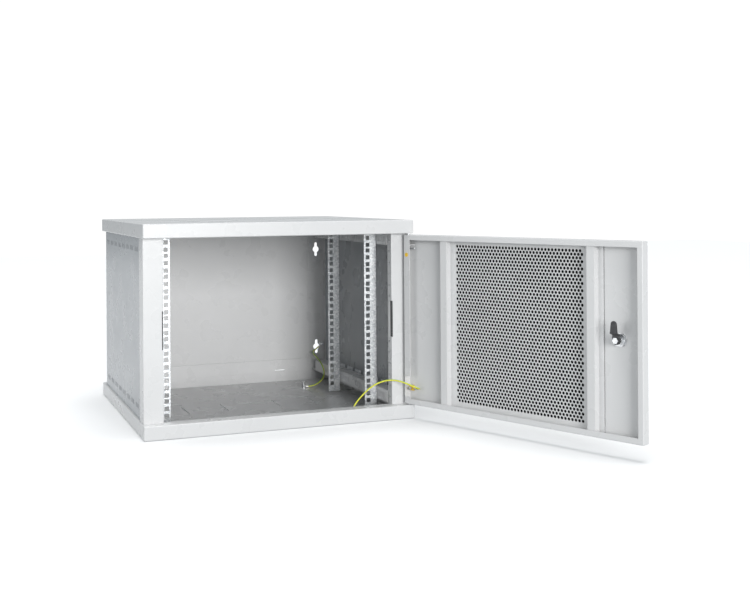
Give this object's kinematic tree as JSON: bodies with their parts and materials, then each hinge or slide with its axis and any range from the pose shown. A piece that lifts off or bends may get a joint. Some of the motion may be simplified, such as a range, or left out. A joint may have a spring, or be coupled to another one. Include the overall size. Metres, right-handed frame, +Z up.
{
  "type": "wall-mount network rack cabinet",
  "caption": "Light grey steel wall cabinet for 19-inch network equipment, with square-hole rails, a perforated door with a cam lock standing open, and earth leads.",
  "frame": {"origin": "centre of the base footprint on the underside of the base pan", "axes": "+Z up, -Y to the front where the door is, +Y to the wall"},
  "size_m": [0.8338, 1.1018, 0.4401],
  "materials": {
    "grey_powder_coat": "fine light grey powder coat",
    "panel_grey_coat": "fine mid grey powder coat",
    "galvanised_steel": "galvanised sheet with zinc spangle",
    "zinc_plate": "bright zinc plate",
    "tinned_lug": "tinned copper ring lug",
    "spring_steel": "oiled spring wire",
    "chrome_lock": "satin nickel-chrome plate",
    "black_cam": "dark passivated steel",
    "black_filter_mat": "open black filter felt",
    "yellow_green_insulation": "yellow PVC with two green stripes",
    "yellow_marker": "yellow earth marker"
  },
  "bodies": {
    "cabinet": {"base_pan": "grey_powder_coat", "top_pan": "grey_powder_coat", "front_post_right": "grey_powder_coat", "front_post_left": "grey_powder_coat", "rear_post_right": "grey_powder_coat", "rear_post_left": "grey_powder_coat", "side_panel_right": "panel_grey_coat", "side_panel_left": "panel_grey_coat", "rear_panel": "grey_powder_coat", "rear_lower_beam": "grey_powder_coat", "rear_upper_beam": "grey_powder_coat", "lower_channel_right": "grey_powder_coat", "lower_channel_left": "grey_powder_coat", "upper_channel_right": "grey_powder_coat", "upper_channel_left": "grey_powder_coat", "rack_rail_front_right": "galvanised_steel", "rack_rail_front_left": "galvanised_steel", "rack_rail_rear_right": "galvanised_steel", "rack_rail_rear_left": "galvanised_steel", "frame_bolts": "zinc_plate", "frame_nuts": "zinc_plate", "rail_bolts": "zinc_plate", "rail_nuts": "zinc_plate", "side_panel_screws": "zinc_plate", "rear_panel_screws": "zinc_plate", "floor_earth_studs": "zinc_plate", "post_earth_stud": "zinc_plate", "earth_washers": "zinc_plate", "earth_nuts": "zinc_plate", "cabinet_lugs": "tinned_lug", "post_earth_lead": "yellow_green_insulation", "door_earth_lead": "yellow_green_insulation", "lower_hinge_pin": "zinc_plate", "lower_hinge_washer": "zinc_plate"},
    "door": {"door_pan": "grey_powder_coat", "door_grille": "grey_powder_coat", "filter_mat": "black_filter_mat", "filter_retainer": "grey_powder_coat", "door_rib_free_side": "grey_powder_coat", "door_rib_hinge_side": "grey_powder_coat", "hinge_pin_bracket": "grey_powder_coat", "hinge_spring": "spring_steel", "door_earth_stud": "zinc_plate", "door_earth_washer": "yellow_marker", "door_earth_nut": "yellow_marker", "door_lug": "tinned_lug", "earth_marker": "yellow_marker", "lock_housing": "chrome_lock", "lock_washer": "zinc_plate", "lock_nut": "zinc_plate"},
    "lock_cam": {"lock_plug": "chrome_lock", "lock_cam": "black_cam", "cam_screw": "zinc_plate"},
    "hinge_pin": {"upper_hinge_pin": "zinc_plate"}
  },
  "joints": [
    {"name": "door_hinge", "type": "hinge", "parent": "cabinet", "child": "door", "pos_m": [0.2915, -0.275, 0], "axis": [0, 0, 1], "range_deg": [-113.5, 66.5], "deforming": ["door_earth_lead"]},
    {"name": "lock_turn", "type": "hinge", "parent": "door", "child": "lock_cam", "pos_m": [0.50262, -0.7606, 0.22002], "axis": [0.9171, 0.3987, 0], "range_deg": [0, 90]},
    {"name": "hinge_pin_slide", "type": "slide", "parent": "door", "child": "hinge_pin", "axis": [0, 0, -1], "range_m": [0, 0.01], "stiffness_N_per_m": 800, "springref_m": -0.003, "deforming": ["hinge_spring"]}
  ]
}
